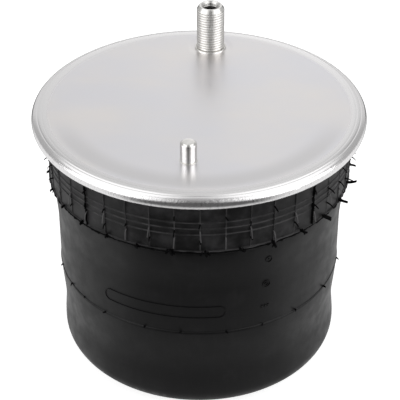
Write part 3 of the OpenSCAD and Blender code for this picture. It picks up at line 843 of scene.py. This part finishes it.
class AIRSPRING_OT_cuff(bpy.types.Operator):
    """Makes the moulded cuff with its rings, ribs, jagged lower lip and the bead inside the rim"""
    bl_idname = "airspring.cuff"
    bl_label = "Cuff"

    def execute(self, context):
        settings = context.scene.air_spring_sleeve
        top = ROLL_LOW_Z - GAP
        bm = self.wall(settings, top)
        self.mould(bm, settings, top)
        turned(bm, FRONT + RIB_TURN)
        follow_plate(piece(bm, "moulded_cuff", rubber_finish(settings, "cuff_rubber", cuff=True), 75))
        torn = torn_rubber("torn_flash")
        self.seams(torn, top)
        self.lip_flash_and_shadow(torn)
        return {"FINISHED"}

    def wall(self, settings, top):
        """The plain cuff with its rings, from the lip up to the bead and down inside."""
        heights = steps_between(CUFF_Z + 1.6 * MM, top - 0.6 * MM, 26)
        rows = [(z, 0.0) for z in heights if all(abs(z - ring) > 1.1 * MM for ring in RING_HEIGHTS)]
        for ring in RING_HEIGHTS:
            rows += [(ring + move * MM, rise * settings.ring) for move, rise in
                     ((-0.75, 0), (-0.42, 0.25), (-0.24, 0.85), (-0.05, 1), (0.15, 0.95), (0.38, 0.4),
                      (0.75, 0))]
        rows.sort()
        inside = THROAT_R - WALL
        bead = ROLL_R - SHEET - GAP
        line = [(SLEEVE_TOP_R - WALL, SLEEVE_TOP_Z), (SLEEVE_TOP_R - LIP_GAP, SLEEVE_TOP_Z)]
        line += points(CUFF_LOW_R, CUFF_Z, (-1, -0.6), (0.5, -0.3), (0.95, -0.05), (1, 0.25), (0.7, 0.55),
                       (0.15, 0.85), (0.03, 1.2))
        line += [(cuff_radius(z) + rise, z) for z, rise in rows]
        line += [(CUFF_R, top), (THROAT_R, top + 0.05 * MM), (THROAT_R, RIM_Z - bead)]
        line += arc(ROLL_X, RIM_Z, bead, -90, 0, 6)
        line += arc(CORNER_X, RIM_Z, CORNER_R - SHEET - GAP, 30, 90, 3)
        line += [(SHOULDER_R, PLATE_UNDER - GAP), (inside, PLATE_UNDER - GAP), (inside, CUFF_Z + 2 * MM)]
        return spun(line, settings.ribs * RIB_COLUMNS)

    def mould(self, bm, settings, top):
        """Raises the ribs, swells the panels between, roughens the lip and notes the crests, which are
        painted pale as wear and as a painted highlight.
        """
        column_turn = math.tau / settings.ribs / RIB_COLUMNS
        beside_rib = {1: 0.42 * MM, 2: 0.95 * MM}
        crest = bm.verts.layers.float.new("crest")
        for v in bm.verts:
            reach, turn = polar(v)
            if reach < THROAT_R - 0.9 * MM or v.co.z > top + 0.01 * MM:
                continue
            column = round(turn / column_turn)
            number, place = divmod(column, RIB_COLUMNS)
            place -= RIB_COLUMNS if place > RIB_COLUMNS / 2 else 0
            turn = column * column_turn
            rise = grain(v.co.x * 32, v.co.y * 32, v.co.z * 45) * 0.28 * MM
            if v.co.z > CUFF_Z + 1 * MM:
                # Ring and rib crests, painted pale as wear and as a painted highlight.
                worn = [1 - abs(v.co.z - ring - 0.1 * MM) / (0.4 * MM) for ring in RING_HEIGHTS]
                rise += grain(number * 3.7, math.floor(v.co.z * 95), 0.5) * 0.3 * MM * bump(place, 8)
                if place == 0:
                    level = grain(number * 2.3, v.co.z * 70, 7) * 0.45
                    rise += settings.rib * (0.75 + level)
                    worn.append(0.9 + level)
                if abs(place) == 1:
                    rise += settings.rib * 0.1
                if abs(place) in beside_rib:
                    turn += math.copysign(beside_rib[abs(place)], place) / reach - place * column_turn
                v[crest] = max(0.0, *worn)
            else:
                # The lip's edge, painted pale as wear and as a painted highlight.
                v[crest] = 0.75 * bump(v.co.z - CUFF_Z - 0.35 * MM, 0.5 * MM)
                rise += grain(v.co.x * 160, v.co.y * 160, 3) * 0.55 * MM
                v.co.z += grain(v.co.x * 60, v.co.y * 60, 9) * 0.4 * MM
            v.co.x, v.co.y = Vector((math.cos(turn), math.sin(turn))) * (reach + rise)

    def lip_flash_and_shadow(self, material):
        """The ragged flash that hangs under the lip, longer to the sides; there its dull black also stands in
        for the shadow under the lip, as a painted shadow.
        """
        line = points(CUFF_LOW_R, CUFF_Z, (0.5, -0.3), (1.12, 0.02), (1.3, -0.25), (1.25, -0.7), (0.95, -0.9),
                      (0.5, -0.6))
        bm = spun(line, 720)
        for v in bm.verts:
            turn = math.atan2(v.co.y, v.co.x)
            across, along = math.cos(turn), math.sin(turn)
            coarse, fine = grain(across * 30, along * 30, 4), grain(across * 95, along * 95, 8)
            # Painted shadow and real flash: the black flash hangs longer to the sides, where it stands for
            # the shadow under the lip.
            hang = (0.3 + 0.7 * abs(math.sin(turn - FRONT))) * max(0.0, 0.4 + 1.3 * coarse + 0.9 * fine)
            if v.co.z < CUFF_Z - 0.4 * MM:
                v.co.z -= 1.4 * MM * hang
            v.co += Vector((across, along, 0)) * 0.3 * MM * coarse
        follow_plate(piece(bm, "lip_flash_and_painted_shadow", material, 50))

    def seams(self, material, top):
        """Upright flash with torn teeth at the four joints of the mould."""
        whole = bmesh.new()
        low = CUFF_Z - 0.2 * MM
        for quarter in range(4):
            bm = bmesh.new()
            bmesh.ops.create_grid(bm, x_segments=2, y_segments=120, size=0.5)
            bmesh.ops.solidify(bm, geom=bm.faces[:], thickness=0.5)
            for v in bm.verts:
                share_out, share_up, side = v.co.x + 0.5, v.co.y + 0.5, v.co.z
                z = low + (top - low) * share_up
                tooth = abs(2 * ((z / (2.1 * MM)) % 1.0) - 1)
                ragged = 1.3 + 1.1 * grain(z * 260, quarter * 5, 1)
                ragged += 1.5 * tooth * max(0.0, grain(z * 150, quarter, 2) + 0.25)
                reach = cuff_radius(z) - 0.5 * MM + share_out * (0.5 + max(0.3, ragged)) * MM
                wave = 0.6 * MM * grain(z * 120, quarter * 3, 9)
                v.co = (reach, (side * 2.4 * (1 - 0.5 * share_out)) * MM + wave, z)
            turned(bm, FRONT + RIB_TURN + math.radians(45 + 90 * quarter))
            add(whole, bm)
        follow_plate(joined(whole, "mould_seam_flash", material, 45))


def whisker(whole, turn, z, radius, long, droop, lean, thick):
    """One thin vent whisker that stands out of the wall, droops and leans to a side."""
    bm = bmesh.new()
    bmesh.ops.create_cone(bm, cap_ends=True, cap_tris=True, segments=6, radius1=thick, radius2=thick * 0.8,
                          depth=1)
    sides = [e for e in bm.edges if abs(e.verts[0].co.z - e.verts[1].co.z) > 0.5]
    bmesh.ops.subdivide_edges(bm, edges=sides, cuts=4)
    for v in bm.verts:
        t = v.co.z + 0.5
        out = t * long * (1 - 0.25 * droop * t) - 0.3 * MM
        v.co = (out, v.co.x + lean * long * t * t, v.co.y - droop * long * t * t)
    bmesh.ops.translate(bm, verts=bm.verts, vec=(radius, 0, z))
    turned(bm, FRONT + turn)
    add(whole, bm)


class AIRSPRING_OT_whiskers(bpy.types.Operator):
    """Makes the rubber whiskers that the mould's vents leave on the cuff and along its lower edge"""
    bl_idname = "airspring.whiskers"
    bl_label = "Vent whiskers"

    def execute(self, context):
        settings = context.scene.air_spring_sleeve
        draw = random.Random(11)
        torn = torn_rubber("whisker_rubber")
        # Painted highlight and dust: the hanging whiskers get the pale worn colour all over, standing in for
        # the light on their tops.
        dust_and_highlight = plain_rubber("dust_and_highlight_rubber", tuple(settings.worn), 0.5)
        follow_plate(joined(self.edge(settings, draw), "edge_whiskers", torn))
        ribs, hanging = self.ribs(settings, draw)
        follow_plate(joined(ribs, "rib_whiskers", torn))
        follow_plate(joined(hanging, "hanging_whiskers", dust_and_highlight))
        return {"FINISHED"}

    def edge(self, settings, draw):
        """Clumps of whiskers along the lip, longer to the right."""
        whole, count = bmesh.new(), 29
        for i in range(count):
            turn = math.radians(2.2) + math.tau * i / count
            side = math.sin(turn)
            long = settings.whisker * (0.62 + (0.38 if side > 0 else 0.2) * side + draw.uniform(-0.08, 0.08))
            thick = draw.uniform(1.0, 1.35) * MM
            whisker(whole, turn, CUFF_Z + 0.2 * MM, CUFF_LOW_R, long, draw.uniform(-0.1, 0.3),
                    draw.uniform(-0.15, 0.5), thick)
            for move in ((-0.016, 0.014) if side < 0.15 else (0.014,)):
                if draw.random() < 0.7:
                    whisker(whole, turn + move, CUFF_Z + 0.1 * MM, CUFF_LOW_R, long * draw.uniform(0.45, 0.7),
                            0.6, draw.uniform(-0.8, 0.8), thick * 0.85)
        return whole

    def ribs(self, settings, draw):
        """Whiskers that stand out of the ribs, and ones that hang down along them, painted pale for dust and
        as a painted highlight on their lit tops.
        """
        ribs, hanging = bmesh.new(), bmesh.new()
        for i in range(settings.ribs):
            turn = RIB_TURN + math.tau * i / settings.ribs
            side = math.sin(turn)
            for z in ((191.5, 178.5) if i % 2 else (184.5, 171.5)):
                if draw.random() < 0.2:
                    continue
                long = settings.whisker * (0.42 + 0.35 * max(0.0, side) + draw.uniform(-0.15, 0.15))
                height = z * MM + draw.uniform(-1, 1) * MM
                whisker(ribs, turn, height, cuff_radius(height) + 0.3 * MM, long, draw.uniform(0.1, 0.8),
                        draw.uniform(-0.35, 0.35), 0.6 * MM)
            height = (draw.uniform(171, 174) if i % 2 else draw.uniform(178, 181)) * MM
            whisker(hanging, turn, height, cuff_radius(height) + 0.4 * MM, 5 * MM, draw.uniform(1.3, 1.9),
                    draw.uniform(-0.2, 0.2), 0.55 * MM)
        return ribs, hanging


def sleeve_radius(z):
    """Radius of the sleeve's outside at a height between the lobe and the cuff."""
    for (r1, z1), (r2, z2) in zip(SLEEVE_LINE, SLEEVE_LINE[1:]):
        if z <= z2:
            t = (z - z1) / (z2 - z1)
            return r1 + (r2 - r1) * t * t * (3 - 2 * t)
    return SLEEVE_TOP_R


def follow_sleeve(made):
    """Bakes a piece of the outer sleeve into place and hides the bellows node."""
    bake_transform(made)
    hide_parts("bellows")


def uneven(x, y, z):
    """Slight unevenness of the let-down sleeve, none at the lobe and at the cuff."""
    share_up = within((z - LOBE_Z) / (12 * MM)) * within((SLEEVE_TOP_Z - z) / (10 * MM))
    return share_up * (grain(x * 14, y * 14, z * 9) * 0.5 + grain(x * 45, y * 45, z * 12) * 0.16) * MM


class AIRSPRING_OT_sleeve(bpy.types.Operator):
    """Makes the rolled sleeve: its outer wall with the mould line, the lobe and the leg to the lower bead"""
    bl_idname = "airspring.sleeve"
    bl_label = "Rolled sleeve"

    def execute(self, context):
        settings = context.scene.air_spring_sleeve
        material = rubber_finish(settings, "moulded_rubber")
        self.outer(settings, material)
        self.lobe(material)
        self.inner(material)
        self.nubs(torn_rubber("nub_rubber"))
        return {"FINISHED"}

    def outer(self, settings, material):
        """The wall from the lobe up to the cuff, with the mould line and the step in under the cuff's lip."""
        heights = [LOBE_Z, LOBE_Z + 0.15 * MM] + steps_between(LOBE_Z + 1 * MM, MOULD_Z - 1 * MM, 40)
        heights += steps_between(MOULD_Z + 1 * MM, SLEEVE_TOP_Z - 3.3 * MM, 40)
        rows = [(z, 0.0) for z in heights]
        rows += [(SLEEVE_TOP_Z - low * MM, -deep * LIP_GAP) for low, deep in
                 ((2.9, 0.04), (2.6, 0.14), (2.35, 0.4), (2.2, 0.75), (2.15, 1), (0, 1))]
        rows += [(MOULD_Z + move * MM, rise * settings.line) for move, rise in
                 ((-0.8, -0.4), (-0.5, -0.3), (-0.3, 0.45), (-0.12, 0.95), (0.12, 0.95), (0.3, 0.45),
                  (0.55, 0))]
        rows.sort()
        line = [(sleeve_radius(z) + rise, z) for z, rise in rows]
        line += [(sleeve_radius(z) - WALL, z) for z in steps_between(SLEEVE_TOP_Z, LOBE_Z, 24)]
        bm = spun(line, 288)
        for v in bm.verts:
            widen(v, 1 + uneven(*v.co) / math.hypot(v.co.x, v.co.y))
        follow_sleeve(piece(bm, "outer_sleeve", material, 60))

    def lobe(self, material):
        """The half round roll at the foot, which climbs the piston as the plate rises."""
        line = arc(LOBE_X, LOBE_Z, LOBE_R, 0, -1, 1) + arc(LOBE_X, LOBE_Z, LOBE_R, -5, -175, 34)
        line += arc(LOBE_X, LOBE_Z, LOBE_R, -179, -180, 1) + arc(LOBE_X, LOBE_Z, LOBE_R - WALL, -180, 0, 14)
        made = piece(spun(line, 288), "rolling_lobe", material, 60)
        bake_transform(made)
        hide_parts("bellows")

    def inner(self, material):
        """The leg runs up the piston's wall, over its shoulder and into the lower bead."""
        bend_x, bend_z, bend = 62.5 * MM, 112 * MM, 16 * MM
        seat_r, seat_foot_r, bead_r = 57.8 * MM, 58.8 * MM, 69.3 * MM
        wall_r, low, top = PISTON_R + GAP, LAND_Z - 18 * MM + GAP, LAND_Z - 0.1 * MM
        line = [(wall_r, LOBE_Z), (wall_r, LOBE_Z + 0.2 * MM)]
        line += upright(wall_r, LOBE_Z + 3 * MM, bend_z - 3 * MM, 24)
        line += arc(bend_x, bend_z, bend + GAP, 0, 90, 12)
        line += [(seat_foot_r, low)] + points(seat_r, top, (0, -0.5), (0.5, 0))
        line += points(bead_r, top, (-1, 0), (0, -1)) + [(bead_r, low + WALL + 0.2 * MM)]
        line += arc(bend_x, bend_z, bend + GAP + WALL, 70, 0, 10)
        line += upright(wall_r + WALL, bend_z - 3 * MM, LOBE_Z, 24)
        made = piece(spun(line, 180), "inner_leg_and_bead", material, 50)
        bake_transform(made)
        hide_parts("bellows")

    def nubs(self, material):
        """Short torn nubs along the mould line, at turns in degrees from the front."""
        whole = bmesh.new()
        draw = random.Random(5)
        for turn in (-76.8, -63, -52.7, -39.5, -21.5, -7, 10.5, 25.4, 41.4, 60.7, 81, 97, 113, 130, 147,
                     163, 180, 197, 214, 231, 248, 265):
            long = draw.uniform(1.4, 2.6) * MM
            whisker(whole, math.radians(turn), MOULD_Z, SLEEVE_R + 0.1 * MM, long, draw.uniform(-0.5, 0.5),
                    draw.uniform(-0.9, 0.9), 0.8 * MM)
        follow_sleeve(joined(whole, "mould_line_nubs", material))


def wrapped(bm, turn, z):
    """Wraps a flat outline of (along, up, out) round the sleeve."""
    for v in bm.verts:
        up = z + v.co.y
        reach = sleeve_radius(up)
        angle = FRONT + turn + v.co.x / reach
        spot = Vector((math.cos(angle), math.sin(angle))) * reach
        reach += uneven(spot.x, spot.y, up) + (v.co.z if v.co.z > 0 else -0.6 * MM)
        v.co = (math.cos(angle) * reach, math.sin(angle) * reach, up)


def outline(half_long, half_high, radius, thick, height, filled):
    """A raised outline with round corners, drawn flat; its middle is open unless it is filled."""
    bm = bmesh.new()
    bmesh.ops.create_circle(bm, cap_ends=True, segments=48, radius=radius)
    for v in bm.verts:
        v.co.x += math.copysign(half_long - radius, v.co.x) if abs(v.co.x) > 1e-7 else 0
        v.co.y += math.copysign(half_high - radius, v.co.y) if abs(v.co.y) > 1e-7 else 0
    for e in [e for e in bm.edges if e.calc_length() > 2.5 * MM]:
        bmesh.ops.subdivide_edges(bm, edges=[e], cuts=max(1, int(e.calc_length() / (1.6 * MM))))
    face = bm.faces[:]
    bm.normal_update()
    upward = math.copysign(height, face[0].normal.z)
    for width, depth in ((0.25, upward), (0.5, 0), (0.25, -upward))[:2 if filled else 3]:
        bmesh.ops.inset_region(bm, faces=face, thickness=thick * width, depth=depth, use_even_offset=True,
                               use_boundary=True)
    if not filled:
        bmesh.ops.delete(bm, geom=face, context="FACES_ONLY")
    walls = bmesh.ops.extrude_edge_only(bm, edges=[e for e in bm.edges if e.is_boundary])
    moved = [g for g in walls["geom"] if isinstance(g, bmesh.types.BMVert)]
    bmesh.ops.translate(bm, verts=moved, vec=(0, 0, -0.5 * MM))
    return bm


class AIRSPRING_OT_marks(bpy.types.Operator):
    """Makes the plain raised outlines and small moulded marks on the sleeve"""
    bl_idname = "airspring.marks"
    bl_label = "Moulded marks"

    def execute(self, context):
        settings = context.scene.air_spring_sleeve
        whole = bmesh.new()
        # Turn in degrees, height, half length, half height, corner radius and line width in mm, and if filled
        slot = (-14.6, 102.5, 48, 5.5, 5.4, 0.9, False)
        rings = [(26.8, 144, 2.9, 2.9, 2.85, 0.7, False), (26.8, 144, 0.7, 0.7, 0.65, 0.5, True),
                 (26.5, 121, 3.2, 3.2, 3.15, 0.7, False), (26.5, 121, 1.5, 1.5, 1.45, 0.5, False)]
        dots = [(turn, 100.2, 0.9, 1.4, 0.5, 0.5, True) for turn in (25.0, 26.3, 27.6)]
        for turn, z, long, high, radius, thick, filled in (slot, *rings, *dots):
            bm = outline(long * MM, high * MM, radius * MM, thick * MM, settings.mark, filled)
            wrapped(bm, math.radians(turn), z * MM)
            add(whole, bm)
        follow_sleeve(joined(whole, "moulded_marks", rubber_finish(settings, "mark_rubber")))
        return {"FINISHED"}


class AIRSPRING_OT_piston(bpy.types.Operator):
    """Makes the moulded piston with rounded edges and its threaded inserts"""
    bl_idname = "airspring.piston"
    bl_label = "Piston"

    def execute(self, context):
        settings = context.scene.air_spring_piston
        made = rounded_copy("piston", "moulded_piston", plastic_finish(settings), settings.edge)
        dress(made, PISTON_BODY, "piston_plastic", "piston")
        self.inserts(settings)
        return {"FINISHED"}

    def inserts(self, settings):
        """Four brass inserts on their pitch circle, threaded inside."""
        whole = bmesh.new()
        outer, bore, top, circle_r = 8 * MM, 5.1 * MM, INSERT_HIGH.z, 44.5 * MM
        line = points(bore, 0, (1.1, 0)) + points(outer, 0, (-0.4, 0), (0, 0.4))
        line += points(outer, top, (0, -0.4), (-0.4, 0)) + points(bore, top, (0, 0), (0, -1))
        line += upright(bore, top - 1.2 * MM, 1.2 * MM, 84)
        for i in range(4):
            bm = spun(line, 60)
            for v in bm.verts:
                reach, turn = polar(v)
                if abs(reach - bore) < 0.05 * MM and 1 * MM < v.co.z < top - 1.1 * MM:
                    widen(v, (bore + 0.85 * MM * (1 - thread(v.co.z, turn, M12_PITCH))) / reach)
            angle = math.radians(45 + 90 * i)
            spot = Vector((math.cos(angle), math.sin(angle), 0)) * circle_r
            bmesh.ops.translate(bm, verts=bm.verts, vec=spot)
            add(whole, bm)
        brass = metal_finish("turned_brass", tuple(settings.brass), 0.26, (0.5, 0.36, 0.16))
        dress(piece(whole, "threaded_inserts", brass, 62), PISTON_BODY, "insert_brass", "base_inserts")


class AIRSPRING_OT_inside(bpy.types.Operator):
    """Makes the centre bolt, its nut and the nut's washer, and finishes the other parts inside"""
    bl_idname = "airspring.inside"
    bl_label = "Inner parts"

    def execute(self, context):
        zinc = tuple(context.scene.air_spring_piston.zinc)
        plated = metal_finish("zinc_plated", zinc, 0.3, mixed(zinc, (0.35, 0.34, 0.3), 0.4))
        pressed = metal_finish("pressed_steel", (0.42, 0.43, 0.44), 0.36, (0.3, 0.3, 0.31))
        wire = metal_finish("brassed_wire", (0.55, 0.42, 0.2), 0.35, (0.4, 0.3, 0.14))
        seal = plain_rubber("seal_rubber", (0.014, 0.014, 0.014), 0.38)
        buffer = plain_rubber("buffer_rubber", (0.02, 0.02, 0.021), 0.62)
        for node, name, edge in (("centre_nut", "plated_nut", 0.4 * MM),
                                 ("nut_washer", "plated_washer", 0.3 * MM)):
            dress(rounded_copy(node, name, plated, edge), PISTON_BODY, "fastener_zinc", node)
        self.bolt(plated)
        for node, material in (("bolt_washer", plated), ("hub_sleeve", pressed), ("clamp_plate", pressed),
                               ("bump_stop_disc", pressed), ("clamp_seal", seal), ("bump_stop", buffer),
                               ("upper_bead_core", wire), ("lower_bead_core", wire)):
            shade(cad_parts[node].data, material, 30)
        return {"FINISHED"}

    def bolt(self, material):
        """The bolt with its thread at the foot and its hexagon head."""
        radius, head_high, across_flats = 6 * MM, 7.5 * MM, 18 * MM
        low, head = BOLT_LOW.z, BOLT_HIGH.z - head_high
        line = [(0, low)] + points(radius, low, (-1, 0), (-0.9, 0.05), (0, 0.95))
        line += upright(radius, low + 1.1 * MM, low + 30 * MM, 150)
        line += [(radius, head + 0.5 * MM), (0, head + 0.5 * MM)]
        bm = spun(line, 60, closed=False)
        for v in bm.verts:
            reach, turn = polar(v)
            if reach > 4.9 * MM and v.co.z < low + 29 * MM:
                widen(v, min(1.0, (radius - 0.95 * MM * (1 - thread(v.co.z, turn, M12_PITCH))) / reach))
        hexagon = bmesh.new()
        corner = across_flats / math.sqrt(3)
        bmesh.ops.create_cone(hexagon, cap_ends=True, segments=6, radius1=corner, radius2=corner,
                              depth=head_high)
        bmesh.ops.bevel(hexagon, geom=hexagon.edges[:], offset=0.5 * MM, offset_type="OFFSET", segments=2,
                        profile=0.5, affect="EDGES", material=-1, clamp_overlap=True)
        bmesh.ops.translate(hexagon, verts=hexagon.verts, vec=(0, 0, head + head_high / 2))
        add(bm, hexagon)
        dress(piece(bm, "threaded_centre_bolt", material, 62), PISTON_BODY, "fastener_zinc", "centre_bolt")


OPERATORS = (AIRSPRING_OT_stage, AIRSPRING_OT_plate, AIRSPRING_OT_stud, AIRSPRING_OT_pin,
             AIRSPRING_OT_cuff, AIRSPRING_OT_whiskers, AIRSPRING_OT_sleeve, AIRSPRING_OT_marks,
             AIRSPRING_OT_piston, AIRSPRING_OT_inside)
GROUPS = {"air_spring_plate": PlateSettings, "air_spring_stud": StudSettings,
          "air_spring_sleeve": SleeveSettings, "air_spring_piston": PistonSettings,
          "air_spring_studio": StudioSettings}


class AIRSPRING_PT_panel(bpy.types.Panel):
    """Lists the settings and the operators of the air spring"""
    bl_idname = "AIRSPRING_PT_panel"
    bl_label = "Air spring"
    bl_space_type = "VIEW_3D"
    bl_region_type = "UI"
    bl_category = "Air spring"

    def draw(self, context):
        for name in GROUPS:
            box = self.layout.box()
            group = getattr(context.scene, name)
            for key in group.__annotations__:
                box.prop(group, key)
        for operator in OPERATORS:
            self.layout.operator(operator.bl_idname)


def register():
    for name, group in GROUPS.items():
        bpy.utils.register_class(group)
        setattr(bpy.types.Scene, name, PointerProperty(type=group))
    for made in (*OPERATORS, AIRSPRING_PT_panel):
        bpy.utils.register_class(made)


def unregister():
    for made in (AIRSPRING_PT_panel, *reversed(OPERATORS)):
        bpy.utils.unregister_class(made)
    for name, group in reversed(GROUPS.items()):
        delattr(bpy.types.Scene, name)
        bpy.utils.unregister_class(group)


def main():
    register()
    bpy.ops.airspring.stage()
    bpy.ops.airspring.plate()
    bpy.ops.airspring.stud()
    bpy.ops.airspring.pin()
    bpy.ops.airspring.cuff()
    bpy.ops.airspring.whiskers()
    bpy.ops.airspring.sleeve()
    bpy.ops.airspring.marks()
    bpy.ops.airspring.piston()
    bpy.ops.airspring.inside()


if __name__ == "__main__":
    main()
